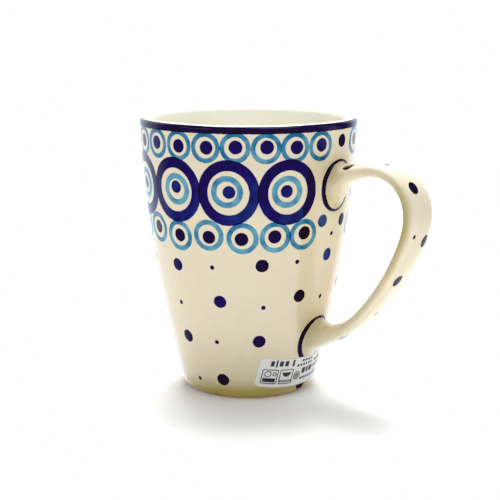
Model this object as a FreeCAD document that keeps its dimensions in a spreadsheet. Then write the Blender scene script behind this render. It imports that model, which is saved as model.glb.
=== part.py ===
"""A tall stoneware mug with a strap handle, as a parametric FreeCAD document.

Frame: millimetres, +Z up. The origin is on the mug's axis, in the plane that the foot ring
stands on. +X points from the axis through the middle of the handle.

The mug is made the way a potter makes it. The body is one turned piece of stoneware clay, the
handle is a pulled strap that is luted to it with two pads of slip, and a thin glaze covers both,
down to a bare foot ring. A paper care label is stuck to the glaze below the handle.
"""
import FreeCAD
import Part
import Sketcher
import math
import os

V = FreeCAD.Vector
UPRIGHT = FreeCAD.Placement(V(0, 0, 0), FreeCAD.Rotation(V(1, 0, 0), 90))
START, END, CENTRE = 1, 2, 3
X_AXIS, Z_AXIS = -1, -2

# Driving dimensions: alias, value in millimetres or degrees, meaning.
SIZES = [
    ("overall_height", 115.0, "foot plane to the top of the glazed lip"),
    ("rim_radius", 45.5, "outside of the glazed lip"),
    ("glaze", 0.25, "thickness of the fired glaze"),
    ("slip", 0.5, "thickness of the luting slip under each end of the handle"),
    ("lip_radius", 1.75, "rounding of the clay lip, half of the lip's thickness"),
    ("wall_arc", 465.0, "radius of the long outward curve of the wall"),
    ("inner_arc", 520.0, "radius of the same curve inside the cup"),
    ("base_radius", 27.5, "outside of the wall where the glaze stops"),
    ("glaze_line", 1.8, "height where the glaze stops above the foot"),
    ("floor_height", 7.0, "top of the clay floor inside the cup"),
    ("floor_fillet", 9.0, "rounding between the floor and the inside wall"),
    ("fillet_centre", 16.4, "distance of that rounding's centre from the axis"),
    ("foot_outer", 25.9, "outside radius of the bare foot ring"),
    ("foot_inner", 21.6, "inside radius of the bare foot ring"),
    ("recess_radius", 20.0, "radius of the flat recess under the floor"),
    ("recess_depth", 2.0, "height of that recess above the foot plane"),
    ("split_height", 60.0, "height that parts the upper slip pad from the lower one"),
    ("label_height", 13.1, "height of the paper label, measured up the sloping wall"),
    ("label_chord", 37.5, "straight distance between the label's two ends"),
    ("label_corner", 2.2, "rounding of the label's corners"),
    ("label_start", 12.05, "height on the axis from which the label's lower edge is pushed out"),
    ("label_turn", -10.0, "direction of the label's middle, about +Z from +X"),
    ("label_lean", 15.5, "how far below level the label is pushed out, square to the wall"),
    ("paper", 0.12, "thickness of the label"),
    ("glue", 0.02, "thickness of the glue under the label, which is left as a gap"),
    ("reach", 60.0, "length of the helper solids that trim other shapes"),
]

# The strap's cross-sections, from its upper end inside the wall to its lower end inside the wall.
# Each is an ellipse: name, x and z of its centre, heading of the strap there (degrees up from
# +X), width along Y, and thickness.
STATIONS = [
    ("upper_end", 41.6, 89.1, -4.0, 20.5, 20.4),
    ("upper_root", 44.4, 89.9, 8.0, 19.2, 17.0),
    ("upper_neck", 46.6, 91.3, 20.0, 18.3, 11.8),
    ("upper_flare", 49.9, 93.5, 27.0, 17.8, 8.2),
    ("rise", 56.5, 96.3, 16.0, 17.5, 6.7),
    ("crest", 64.6, 97.4, -5.0, 17.8, 6.3),
    ("shoulder", 72.4, 95.0, -34.0, 18.5, 5.9),
    ("corner", 78.5, 88.2, -60.0, 19.4, 5.8),
    ("outermost", 80.3, 79.2, -90.0, 20.3, 5.7),
    ("grip_top", 77.8, 68.6, -108.0, 21.0, 5.6),
    ("grip_middle", 71.2, 54.8, -120.0, 21.0, 5.5),
    ("grip_bottom", 61.7, 41.5, -130.0, 20.3, 5.6),
    ("sweep", 52.5, 32.8, -145.0, 19.3, 6.0),
    ("lower_flare", 45.3, 28.6, -160.0, 18.3, 7.2),
    ("lower_neck", 40.6, 26.9, -168.0, 17.8, 9.8),
    ("lower_root", 36.4, 25.4, -178.0, 18.0, 14.6),
    ("lower_end", 31.9, 24.3, -190.0, 18.8, 18.6),
]


def fill_sheet(doc):
    """Write every driving dimension to the sheet, one row each, with its alias."""
    sheet = doc.addObject("Spreadsheet::Sheet", "Sizes")
    rows = list(SIZES)
    for name, x, z, heading, width, thickness in STATIONS:
        rows.append((name + "_x", x, "strap station: distance from the axis"))
        rows.append((name + "_z", z, "strap station: height"))
        rows.append((name + "_heading", heading, "strap station: heading of the strap"))
        rows.append((name + "_width", width, "strap station: width"))
        rows.append((name + "_thick", thickness, "strap station: thickness"))
    for row, (alias, value, meaning) in enumerate(rows, start=1):
        sheet.set("A%d" % row, str(value))
        sheet.setAlias("A%d" % row, alias)
        sheet.set("B%d" % row, meaning)
    doc.recompute()
    return sheet


def named(expression):
    """Put the sheet's name in front of each alias of an expression written with spaces."""
    words = expression.split()
    return " ".join("Sizes." + word if word[0].isalpha() else word for word in words)


def rule(sketch, kind, geometry, point, expression):
    """Add one dimension to a sketch and bind it to the sheet."""
    guess = 10.0
    if kind == "Radius":
        guess = sketch.Geometry[geometry].Radius
    elif kind == "DistanceX":
        guess = sketch.getPoint(geometry, point).x
    elif kind == "DistanceY":
        guess = sketch.getPoint(geometry, point).y
    if kind == "Radius":
        index = sketch.addConstraint(Sketcher.Constraint(kind, geometry, guess))
    else:
        index = sketch.addConstraint(Sketcher.Constraint(kind, -1, 1, geometry, point, guess))
    sketch.setExpression("Constraints[%d]" % index, named(expression))


def join(sketch, first, first_point, second, second_point, smooth=False):
    """Make the ends of two edges meet, in a smooth line where asked."""
    kind = "Tangent" if smooth else "Coincident"
    ends = (first, first_point, second, second_point)
    sketch.addConstraint(Sketcher.Constraint(kind, *ends))


def arc_between(start, end, radius, centre_left):
    """An arc edge from start to end; its centre is on the left or right of that direction."""
    middle = (start + end) * 0.5
    along = end - start
    half = along.Length / 2
    side = V(-along.y, along.x, 0).normalize()
    reach = math.sqrt(max(radius * radius - half * half, 0.0))
    centre = middle + side * (reach if centre_left else -reach)
    first, last = (start, end) if centre_left else (end, start)
    angle_first = math.atan2(first.y - centre.y, first.x - centre.x)
    angle_last = math.atan2(last.y - centre.y, last.x - centre.x)
    circle = Part.Circle(centre, V(0, 0, 1), radius)
    return Part.ArcOfCircle(circle, angle_first, angle_last)


def wall_and_lip(sketch, sheet):
    """Draw the outer wall and the lip that it runs into; return their edge numbers.

    The wall is one arc about a centre on the far side of the axis, so its start is its lower end.
    """
    lip_height = sheet.overall_height - sheet.glaze - sheet.lip_radius
    low = V(sheet.base_radius, sheet.glaze_line, 0)
    high = V(sheet.rim_radius - sheet.glaze, lip_height, 0)
    lip_inside = high - V(2 * sheet.lip_radius, 0, 0)
    wall = sketch.addGeometry(arc_between(low, high, sheet.wall_arc, True))
    lip = sketch.addGeometry(arc_between(high, lip_inside, sheet.lip_radius, True))
    join(sketch, wall, END, lip, START, smooth=True)
    rule(sketch, "DistanceX", wall, START, "base_radius")
    rule(sketch, "DistanceY", wall, START, "glaze_line")
    rule(sketch, "DistanceX", lip, CENTRE, "rim_radius - glaze - lip_radius")
    rule(sketch, "DistanceY", lip, CENTRE, "overall_height - glaze - lip_radius")
    rule(sketch, "Radius", wall, 0, "wall_arc")
    rule(sketch, "Radius", lip, 0, "lip_radius")
    return wall, lip


def cup_outline(sketch, sheet):
    """Draw the glazed side of the clay: outer wall, lip, inner wall, floor rounding and floor.

    Returns the outer wall's and the floor's edge numbers.
    """
    wall, lip = wall_and_lip(sketch, sheet)
    lip_inside = sketch.getPoint(lip, END)
    corner = V(sheet.fillet_centre, sheet.floor_height, 0)
    knee = corner + V(sheet.floor_fillet, sheet.floor_fillet, 0)
    axis_point = V(0, sheet.floor_height, 0)
    inside = sketch.addGeometry(arc_between(lip_inside, knee, sheet.inner_arc, False))
    bend = sketch.addGeometry(arc_between(knee, corner, sheet.floor_fillet, False))
    floor = sketch.addGeometry(Part.LineSegment(corner, axis_point))
    join(sketch, lip, END, inside, END, smooth=True)
    join(sketch, inside, START, bend, END, smooth=True)
    join(sketch, bend, START, floor, START, smooth=True)
    sketch.addConstraint(Sketcher.Constraint("PointOnObject", floor, END, Z_AXIS))
    sketch.addConstraint(Sketcher.Constraint("Horizontal", floor))
    rule(sketch, "Radius", inside, 0, "inner_arc")
    rule(sketch, "Radius", bend, 0, "floor_fillet")
    rule(sketch, "DistanceY", floor, START, "floor_height")
    rule(sketch, "DistanceX", bend, CENTRE, "fillet_centre")
    return wall, floor


def foot_outline(sketch, sheet, wall, floor):
    """Close the clay's profile below: axis, recess, foot ring and its bevelled outer edge."""
    points = [
        (V(0, sheet.recess_depth, 0), None, "recess_depth"),
        (V(sheet.recess_radius, sheet.recess_depth, 0), "recess_radius", "recess_depth"),
        (V(sheet.foot_inner, 0, 0), "foot_inner", None),
        (V(sheet.foot_outer, 0, 0), "foot_outer", None),
    ]
    places = [V(0, sheet.floor_height, 0)] + [place for place, across, up in points]
    places.append(V(sheet.base_radius, sheet.glaze_line, 0))
    edges = []
    for here, there in zip(places, places[1:]):
        edges.append(sketch.addGeometry(Part.LineSegment(here, there)))
    join(sketch, floor, END, edges[0], START)
    for edge, following in zip(edges, edges[1:]):
        join(sketch, edge, END, following, START)
    join(sketch, edges[-1], END, wall, START)
    for edge, (place, across, up) in zip(edges, points):
        if across:
            rule(sketch, "DistanceX", edge, END, across)
        else:
            sketch.addConstraint(Sketcher.Constraint("PointOnObject", edge, END, Z_AXIS))
        if up:
            rule(sketch, "DistanceY", edge, END, up)
        else:
            sketch.addConstraint(Sketcher.Constraint("PointOnObject", edge, END, X_AXIS))


def origin_plane(body, role):
    """One of a PartDesign body's own origin planes."""
    return next(part for part in body.Origin.OriginFeatures if part.Role == role)


def turned_body(doc, sheet):
    """The clay body: its profile turned once about the mug's axis."""
    body = doc.addObject("PartDesign::Body", "MugBody")
    profile = body.newObject("Sketcher::SketchObject", "BodyProfile")
    profile.AttachmentSupport = [(origin_plane(body, "XZ_Plane"), "")]
    profile.MapMode = "FlatFace"
    wall, floor = cup_outline(profile, sheet)
    foot_outline(profile, sheet, wall, floor)
    turn = body.newObject("PartDesign::Revolution", "BodyTurn")
    turn.Profile = profile
    turn.ReferenceAxis = (profile, ["V_Axis"])
    turn.Angle = 360
    body.Tip = turn
    body.Label = "mug_body"
    return body


def moved_line(doc, name, line, distance, fill):
    """A line moved sideways by a signed distance, or the band between it and its copy."""
    moved = doc.addObject("Part::Offset2D", name)
    moved.Source = line
    moved.Mode = "Skin"
    moved.Join = "Tangent"
    moved.Fill = fill
    moved.setExpression("Value", named(distance))
    return moved


def skin_of_revolution(doc, name, line, distance):
    """A skin of even thickness beside an open profile, turned about the axis."""
    skin = doc.addObject("Part::Revolution", name)
    skin.Source = moved_line(doc, name + "Band", line, distance, True)
    skin.Axis = V(0, 0, 1)
    skin.Angle = 360
    skin.Solid = True
    return skin


def glaze_form(doc, sheet):
    """The glaze over the whole body, before the handle interrupts it."""
    profile = doc.addObject("Sketcher::SketchObject", "GlazeProfile")
    profile.Placement = UPRIGHT
    cup_outline(profile, sheet)
    return skin_of_revolution(doc, "GlazeForm", profile, "- glaze")


def wall_line(doc, sheet, name):
    """The outer wall alone, as an open profile; the lip only guides its upper end."""
    profile = doc.addObject("Sketcher::SketchObject", name)
    profile.Placement = UPRIGHT
    wall, lip = wall_and_lip(profile, sheet)
    profile.addConstraint(Sketcher.Constraint("Horizontal", lip, END, lip, CENTRE))
    profile.toggleConstruction(lip)
    return profile


def strap_form(doc, name, cover):
    """The handle's strap, lofted through its stations; cover is added all round it."""
    sections = []
    for station in STATIONS:
        cell = station[0]
        section = doc.addObject("Part::Ellipse", name + cell.title().replace("_", ""))
        section.setExpression("MajorRadius", "Sizes.%s_width / 2 + %s" % (cell, cover))
        section.setExpression("MinorRadius", "Sizes.%s_thick / 2 + %s" % (cell, cover))
        section.setExpression("Placement.Base.x", "Sizes.%s_x" % cell)
        section.setExpression("Placement.Base.z", "Sizes.%s_z" % cell)
        facing = "rotation(vector(0; 1; 0); 90 - Sizes.%s_heading)" % cell
        width_first = "rotation(vector(0; 0; 1); 90)"
        section.setExpression("Placement.Rotation", "%s * %s" % (facing, width_first))
        sections.append(section)
    strap = doc.addObject("Part::Loft", name)
    strap.Sections = sections
    strap.Solid = True
    strap.Ruled = False
    strap.MaxDegree = 5
    return strap


def boolean(doc, kind, name, base, tool, label=None):
    """A Part::Cut or Part::Common of two shapes."""
    result = doc.addObject("Part::" + kind, name)
    result.Base = base
    result.Tool = tool
    if label:
        result.Label = label
    return result


def half_space(doc, name, upper):
    """A block that holds everything above, or below, the height that parts the two pads."""
    block = doc.addObject("Part::Box", name)
    block.setExpression("Length", named("2 * reach"))
    block.setExpression("Width", named("2 * reach"))
    block.setExpression("Height", named("reach"))
    block.setExpression("Placement.Base.y", named("- reach"))
    lowest = "split_height" if upper else "split_height - reach"
    block.setExpression("Placement.Base.z", named(lowest))
    return block


def slip_pads(doc, sheet, strap):
    """The two pads of slip between the handle's ends and the wall."""
    line = wall_line(doc, sheet, "SlipProfile")
    band = skin_of_revolution(doc, "SlipForm", line, "- slip")
    both = boolean(doc, "Common", "SlipPads", band, strap)
    upper = half_space(doc, "UpperHalf", True)
    lower = half_space(doc, "LowerHalf", False)
    pads = [
        boolean(doc, "Common", "UpperSlipJoint", both, upper, "upper_slip_joint"),
        boolean(doc, "Common", "LowerSlipJoint", both, lower, "lower_slip_joint"),
    ]
    return band, pads


def label_blank(doc, sheet):
    """The label's outline, a rectangle with rounded corners, pushed out square to the wall."""
    half = sheet.label_chord / 2
    top = sheet.label_height
    corner = sheet.label_corner
    sketch = doc.addObject("Sketcher::SketchObject", "LabelOutline")
    places = [V(-half, 0, 0), V(half, 0, 0), V(half, top, 0), V(-half, top, 0)]
    edges = []
    for here, there in zip(places, places[1:] + places[:1]):
        edges.append(sketch.addGeometry(Part.LineSegment(here, there)))
    for edge, following in zip(edges, edges[1:] + edges[:1]):
        join(sketch, edge, END, following, START)
    for edge in edges[0::2]:
        sketch.addConstraint(Sketcher.Constraint("Horizontal", edge))
    for edge in edges[1::2]:
        sketch.addConstraint(Sketcher.Constraint("Vertical", edge))
    sketch.addConstraint(Sketcher.Constraint("PointOnObject", edges[0], START, X_AXIS))
    rule(sketch, "DistanceX", edges[0], START, "- label_chord / 2")
    rule(sketch, "DistanceX", edges[0], END, "label_chord / 2")
    rule(sketch, "DistanceY", edges[2], START, "label_height")
    turn = "rotation(vector(0; 0; 1); 90 + Sizes.label_turn)"
    lean = "rotation(vector(1; 0; 0); 90 + Sizes.label_lean)"
    sketch.setExpression("Placement.Rotation", "%s * %s" % (turn, lean))
    sketch.setExpression("Placement.Base.z", "Sizes.label_start")
    blank = doc.addObject("Part::Extrusion", "LabelBlank")
    blank.Base = sketch
    blank.DirMode = "Normal"
    blank.Solid = True
    blank.setExpression("LengthFwd", named("reach"))
    doc.recompute()
    rounded = doc.addObject("Part::Fillet", "LabelRounded")
    rounded.Base = blank
    long_edges = [
        (number, corner, corner)
        for number, edge in enumerate(blank.Shape.Edges, start=1)
        if abs(edge.Length - sheet.reach) < corner
    ]
    rounded.Edges = long_edges
    return rounded


def paper_label(doc, sheet, coated_strap):
    """The care label: a skin of paper on the glaze, cut to its outline and round the handle."""
    line = wall_line(doc, sheet, "PaperProfile")
    glued_line = moved_line(doc, "GluedLine", line, "- glaze - glue", False)
    paper = skin_of_revolution(doc, "PaperForm", glued_line, "- paper")
    trimmed = boolean(doc, "Common", "LabelTrim", paper, label_blank(doc, sheet))
    return boolean(doc, "Cut", "CareLabel", trimmed, coated_strap, "care_label")


def build():
    """Make the document and return it with its sub-parts."""
    doc = FreeCAD.newDocument("Mug")
    sheet = fill_sheet(doc)
    body = turned_body(doc, sheet)
    glazed = glaze_form(doc, sheet)
    strap = strap_form(doc, "Strap", "0")
    coated_strap = strap_form(doc, "CoatedStrap", "Sizes.glaze")
    slip_band, pads = slip_pads(doc, sheet, strap)
    strap_outside = boolean(doc, "Cut", "StrapOutside", strap, body)
    handle = boolean(doc, "Cut", "Handle", strap_outside, slip_band, "handle")
    body_glaze = boolean(doc, "Cut", "BodyGlaze", glazed, strap, "body_glaze")
    strap_skin = boolean(doc, "Cut", "StrapSkin", coated_strap, strap)
    skin_outside = boolean(doc, "Cut", "SkinOutside", strap_skin, body)
    handle_glaze = boolean(doc, "Cut", "HandleGlaze", skin_outside, glazed, "handle_glaze")
    label = paper_label(doc, sheet, coated_strap)
    doc.recompute()
    return doc, [body, handle] + pads + [body_glaze, handle_glaze, label]


def check(doc, subparts):
    """Stop unless every object is computed and every sub-part is a sound solid."""
    for item in doc.Objects:
        if "Invalid" in item.State or "Error" in item.State:
            raise RuntimeError("%s failed: %s" % (item.Name, item.State))
    for item in subparts:
        shape = item.Shape
        if shape.isNull() or not shape.isValid() or not shape.Solids:
            raise RuntimeError("%s has no sound solid" % item.Label)
        if shape.Volume <= 0:
            raise RuntimeError("%s has no volume" % item.Label)


def main():
    doc, subparts = build()
    check(doc, subparts)
    os.makedirs("parts", exist_ok=True)
    for item in subparts:
        shape = item.Shape
        box = shape.BoundBox
        print("%-18s %d solid(s) %9.1f mm3  x %.1f..%.1f  y %.1f..%.1f  z %.2f..%.2f" % (
            item.Label, len(shape.Solids), shape.Volume,
            box.XMin, box.XMax, box.YMin, box.YMax, box.ZMin, box.ZMax))
        shape.exportStep("parts/%s.step" % item.Label)


main()
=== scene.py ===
"""A hand-stamped stoneware mug with a pulled strap handle, standing on a pale floor.

Lengths are millimetres until a mesh is made, and azimuths are degrees round the cup's axis,
anticlockwise from above, with the handle at 0.
"""

import math
import random

import bmesh
import bpy
import numpy as np
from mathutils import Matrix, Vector
from mathutils.bvhtree import BVHTree


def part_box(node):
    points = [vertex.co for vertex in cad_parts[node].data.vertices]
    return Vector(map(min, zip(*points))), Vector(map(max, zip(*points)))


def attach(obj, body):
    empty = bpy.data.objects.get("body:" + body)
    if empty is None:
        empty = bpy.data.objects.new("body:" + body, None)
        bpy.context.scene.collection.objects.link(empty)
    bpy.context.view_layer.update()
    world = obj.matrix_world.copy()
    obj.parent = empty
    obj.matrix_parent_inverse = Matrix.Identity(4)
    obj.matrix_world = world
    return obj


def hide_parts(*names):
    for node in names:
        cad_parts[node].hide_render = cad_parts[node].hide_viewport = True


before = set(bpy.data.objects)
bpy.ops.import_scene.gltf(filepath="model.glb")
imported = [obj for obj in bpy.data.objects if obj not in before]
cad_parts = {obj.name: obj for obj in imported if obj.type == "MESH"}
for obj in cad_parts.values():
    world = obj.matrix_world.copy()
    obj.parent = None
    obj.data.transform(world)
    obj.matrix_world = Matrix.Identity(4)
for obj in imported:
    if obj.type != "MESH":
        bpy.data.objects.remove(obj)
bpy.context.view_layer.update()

# Metres in a millimetre, and the dice for everything that varies by chance
MM = 0.001
DICE = random.Random(20)

# The cup, from the frame where the frame says it
GLAZE = 0.25
RIM_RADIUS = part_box("body_glaze")[1].x / MM
RIM_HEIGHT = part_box("body_glaze")[1].z / MM
LIP = 2.0
LIP_CENTRE = np.array([RIM_RADIUS - LIP, RIM_HEIGHT - LIP])
BASE_RADIUS = 27.5
GLAZE_LINE = 1.8
WALL_ARC = 465.0
INNER_ARC = 520.0
FLOOR_HEIGHT = 7.0
FLOOR_FILLET = 9.0
FILLET_CENTRE = np.array([16.4, FLOOR_HEIGHT + FLOOR_FILLET])
FOOT_OUTER = 25.9
FOOT_INNER = 21.6
RECESS_RADIUS = 20.0
RECESS_DEPTH = 2.0
FOOT_ROUND = 0.5
# Points round the cup in its mesh
ROUND_THE_CUP = 256

# The handle: middle of the strap, its width and its thickness
STRAP = (
    (52.4, 95.1, 17.7, 7.3),
    (57.4, 96.6, 17.5, 6.6),
    (64.6, 97.4, 17.8, 6.3),
    (72.4, 95.0, 18.5, 5.9),
    (78.5, 88.2, 19.4, 5.8),
    (80.3, 79.2, 20.3, 5.7),
    (77.8, 68.6, 21.0, 5.6),
    (71.2, 54.8, 21.0, 5.5),
    (61.7, 41.5, 20.3, 5.6),
    (52.5, 32.8, 19.3, 6.0),
    (43.6, 28.0, 18.2, 7.6),
)
# The power of each superellipse: 2 is an ellipse, more is squarer
STRAP_ROUNDNESS = 2.6
ROOT_ROUNDNESS = 2.2
# Rings of the mesh and points in each
RINGS_ALONG_STRAP = 120
RINGS_ALONG_ROOT = 16
ROUND_THE_STRAP = 88
# How far the handle goes into the wall, and how thick the slip under it is
ROOT_SINK = 1.0
SLIP = 0.5

# Each root's footprint on the wall: height of its middle, half its width, half its height
UPPER_ROOT = (89.4, 9.2, 10.1)
LOWER_ROOT = (24.2, 8.8, 9.4)
# How hard the flare holds the strap's direction, and the wall's, and how much it spreads there
ROOT_LEAVE = 1.0
ROOT_ARRIVE = 0.9
ROOT_SPREAD = 0.8

# Painted shade on the strap, olive where the cup shades it: degrees from its edge towards its inner face
# and how far it spreads, the place in the strap's plane, and how far it reaches above and below that
STRAP_SHADE_LEAN = 0
STRAP_SHADE_SPREAD = 28
STRAP_SHADE_MIDDLE = np.array([79.0, 84.0])
STRAP_SHADE_UP = 12.0
STRAP_SHADE_DOWN = 34.0
# How much painted shade lies all along the strap, how much more there, and how much at each root
STRAP_SHADE_LEAST = 0.1
STRAP_SHADE_MORE = 0.7
UPPER_ROOT_SHADE = 0.45
LOWER_ROOT_SHADE = 0.35
# The side of the cup where the painted shade above the foot is strongest, the side towards the camera
FOOT_SHADE_AZIMUTH = -40


# ---- outlines

def meeting_point(first, first_radius, second, second_radius):
    """Where two circles meet, on the side of the cup's axis."""
    across = second - first
    distance = np.linalg.norm(across)
    along = (distance**2 + first_radius**2 - second_radius**2) / (2 * distance)
    aside = math.sqrt(first_radius**2 - along**2)
    unit = across / distance
    middle = first + unit * along
    normal = np.array([-unit[1], unit[0]])
    return min((middle + normal * aside, middle - normal * aside), key=lambda p: p[0])


LIP_CLAY = LIP - GLAZE
WALL_CENTRE = meeting_point(
    np.array([BASE_RADIUS, GLAZE_LINE]), WALL_ARC, LIP_CENTRE, WALL_ARC - LIP_CLAY
)
INNER_CENTRE = meeting_point(
    FILLET_CENTRE, INNER_ARC - FLOOR_FILLET, LIP_CENTRE, INNER_ARC + LIP_CLAY
)


def heading(centre, point):
    return math.atan2(point[1] - centre[1], point[0] - centre[0])


def arc(centre, radius, start, end, count):
    """Points on an arc between two angles, in radians."""
    angles = np.linspace(start, end, count)
    return [(centre[0] + radius * math.cos(a), centre[1] + radius * math.sin(a)) for a in angles]


def wall_radius(height, skin=GLAZE):
    """The outside radius of the cup at a height."""
    reach = WALL_ARC + skin
    return WALL_CENTRE[0] + math.sqrt(reach**2 - (height - WALL_CENTRE[1]) ** 2)


def cup_section(skin, fineness=1):
    """From the middle of the inside floor, up the inside, over the lip and down to the glaze line."""
    lip_inner = heading(LIP_CENTRE, INNER_CENTRE)
    lip_outer = heading(WALL_CENTRE, LIP_CENTRE)
    turn = heading(INNER_CENTRE, FILLET_CENTRE)
    base = math.asin((GLAZE_LINE - WALL_CENTRE[1]) / (WALL_ARC + skin))
    fillet_radius = FLOOR_FILLET - skin
    floor = FLOOR_HEIGHT + skin
    points = [(r, floor) for r in np.linspace(0, FILLET_CENTRE[0], 10 * fineness)[:-1]]
    points += arc(FILLET_CENTRE, fillet_radius, -math.pi / 2, turn, 10 * fineness)[:-1]
    inner_top = heading(INNER_CENTRE, LIP_CENTRE)
    points += arc(INNER_CENTRE, INNER_ARC - skin, turn, inner_top, 30 * fineness)[:-1]
    points += arc(LIP_CENTRE, LIP_CLAY + skin, lip_inner % (2 * math.pi), lip_outer, 10 * fineness)[:-1]
    points += arc(WALL_CENTRE, WALL_ARC + skin, lip_outer, base, 40 * fineness)
    return points


def rounded(corners, radius, count=5):
    """The corners of an open outline, each inner one replaced by a small arc."""
    corners = [np.array(c, float) for c in corners]
    points = [corners[0]]
    for before, corner, after in zip(corners, corners[1:], corners[2:]):
        back = (before - corner) / np.linalg.norm(before - corner)
        ahead = (after - corner) / np.linalg.norm(after - corner)
        for share in np.linspace(0, 1, count):
            pull = (1 - share) ** 2 * back + share**2 * ahead
            points.append(corner + radius * pull)
    points.append(corners[-1])
    return [tuple(p) for p in points]


# ---- meshes

def make_piece(name, points, faces, material):
    """A smooth closed mesh from points in millimetres."""
    mesh = bpy.data.meshes.new(name)
    mesh.from_pydata((np.array(points) * MM).tolist(), [], faces)
    work = bmesh.new()
    work.from_mesh(mesh)
    bmesh.ops.recalc_face_normals(work, faces=work.faces)
    work.to_mesh(mesh)
    work.free()
    mesh.shade_smooth()
    mesh.materials.append(material)
    piece = bpy.data.objects.new(name, mesh)
    bpy.context.scene.collection.objects.link(piece)
    return piece


def revolve(name, outline, material):
    """A solid of revolution from an outline that starts and ends on the axis."""
    inner = outline[1:-1]
    points = [(0, 0, outline[0][1]), (0, 0, outline[-1][1])]
    for radius, height in inner:
        for k in range(ROUND_THE_CUP):
            angle = 2 * math.pi * k / ROUND_THE_CUP
            points.append((radius * math.cos(angle), radius * math.sin(angle), height))
    faces = []
    last = 2 + (len(inner) - 1) * ROUND_THE_CUP
    for k in range(ROUND_THE_CUP):
        after = (k + 1) % ROUND_THE_CUP
        faces.append((0, 2 + k, 2 + after))
        faces.append((1, last + after, last + k))
        for row in range(len(inner) - 1):
            low = 2 + row * ROUND_THE_CUP
            high = low + ROUND_THE_CUP
            faces.append((low + k, high + k, high + after, low + after))
    return make_piece(name, points, faces, material)


def skin_rings(rings, closed):
    """Quads between rings of equal length, and from the last ring to the first if closed."""
    count = len(rings[0])
    faces = []
    for row in range(len(rings) if closed else len(rings) - 1):
        low = row * count
        high = (row + 1) % len(rings) * count
        for k in range(count):
            after = (k + 1) % count
            faces.append((low + k, low + after, high + after, high + k))
    if not closed:
        faces.append(tuple(range(count))[::-1])
        faces.append(tuple(range((len(rings) - 1) * count, len(rings) * count)))
    return faces


# ---- the handle's shape

def smooth_through(knots, count):
    """Points and slopes on the natural cubic spline through the knots."""
    knots = np.array(knots, float)
    steps = np.linalg.norm(np.diff(knots[:, :2], axis=0), axis=1)
    places = np.concatenate([[0.0], np.cumsum(steps)])
    system = np.eye(len(knots))
    pull = np.zeros_like(knots)
    for i in range(1, len(knots) - 1):
        before, after = steps[i - 1], steps[i]
        system[i, i - 1 : i + 2] = (before, 2 * (before + after), after)
        pull[i] = 6 * ((knots[i + 1] - knots[i]) / after - (knots[i] - knots[i - 1]) / before)
    bend = np.linalg.solve(system, pull)
    points, slopes = [], []
    for place in np.linspace(0, places[-1], count):
        i = min(int(np.searchsorted(places, place, side="right")) - 1, len(steps) - 1)
        span, done = steps[i], place - places[i]
        left = span - done
        level = (bend[i] * left**3 + bend[i + 1] * done**3) / (6 * span)
        start = knots[i] / span - bend[i] * span / 6
        end = knots[i + 1] / span - bend[i + 1] * span / 6
        points.append(level + start * left + end * done)
        slopes.append((bend[i + 1] * done**2 - bend[i] * left**2) / (2 * span) - start + end)
    return np.array(points), np.array(slopes)


def oval(half_width, half_height, roundness):
    """Points round a superellipse."""
    angles = np.linspace(0, 2 * math.pi, ROUND_THE_STRAP, endpoint=False)
    power = 2 / roundness
    across = np.sign(np.cos(angles)) * np.abs(np.cos(angles)) ** power * half_width
    up = np.sign(np.sin(angles)) * np.abs(np.sin(angles)) ** power * half_height
    return across, up


def strap_rings(skin):
    """Rings of points along the free strap, from the upper root to the lower one."""
    stations, slopes = smooth_through(STRAP, RINGS_ALONG_STRAP)
    rings, directions = [], []
    for (x, z, width, thickness), slope in zip(stations, slopes):
        direction = slope[:2] / np.linalg.norm(slope[:2])
        outward = np.array([-direction[1], direction[0]])
        across, up = oval(width / 2 - GLAZE + skin, thickness / 2 - GLAZE + skin, STRAP_ROUNDNESS)
        rings.append(np.stack([x + up * outward[0], across, z + up * outward[1]], axis=1))
        directions.append(np.array([direction[0], 0, direction[1]]))
    return rings, directions


def footprint(root, skin, upright, sink=0.0):
    """The ring where a root meets the wall, sunk into it a little."""
    height, half_width, half_height = root
    grow = skin - GLAZE - sink * 0.5
    across, up = oval(half_width + grow, half_height + grow, ROOT_ROUNDNESS)
    ring = []
    for y, rise in zip(across, up):
        z = height + rise * upright
        radius = wall_radius(z, skin) - sink
        ring.append((math.sqrt(radius**2 - y**2), y, z))
    return np.array(ring)


def root_rings(strap_ring, direction, root, skin, upright):
    """Rings that flare from the end of the strap out to the wall, and on into it."""
    foot = footprint(root, skin, upright)
    middle = foot.mean(axis=0)
    spread = foot - middle
    spread /= np.linalg.norm(spread, axis=1)[:, None]
    into_wall = np.array([-1.0, 0, 0])
    reach = np.linalg.norm(foot - strap_ring, axis=1)[:, None]
    leave = direction * reach * ROOT_LEAVE
    arrive = (spread * ROOT_SPREAD + into_wall * (1 - ROOT_SPREAD)) * reach * ROOT_ARRIVE
    rings = []
    for share in np.linspace(0, 1, RINGS_ALONG_ROOT + 1)[1:]:
        a = 2 * share**3 - 3 * share**2 + 1
        b = share**3 - 2 * share**2 + share
        c = 3 * share**2 - 2 * share**3
        d = share**3 - share**2
        rings.append(a * strap_ring + b * leave + c * foot + d * arrive)
    rings.append(footprint(root, skin, upright, ROOT_SINK))
    return rings


def handle_rings(skin):
    """Every ring of the handle, from inside the wall at the top to inside the wall at the bottom."""
    strap, directions = strap_rings(skin)
    upper = root_rings(strap[0], -directions[0], UPPER_ROOT, skin, 1)
    lower = root_rings(strap[-1], directions[-1], LOWER_ROOT, skin, -1)
    return upper[::-1] + strap + lower


# ---- node arithmetic

class Signal:
    """A number in a node tree, so that masks can be written as arithmetic."""

    def __init__(self, graph, socket):
        self.graph = graph
        self.socket = socket

    def __add__(self, other):
        return self.graph.math("ADD", self, other)

    def __sub__(self, other):
        return self.graph.math("SUBTRACT", self, other)

    def __rsub__(self, other):
        return self.graph.math("SUBTRACT", other, self)

    def __mul__(self, other):
        return self.graph.math("MULTIPLY", self, other)

    def __truediv__(self, other):
        return self.graph.math("DIVIDE", self, other)

    def __abs__(self):
        return self.graph.math("ABSOLUTE", self)

    __radd__ = __add__
    __rmul__ = __mul__


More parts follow.
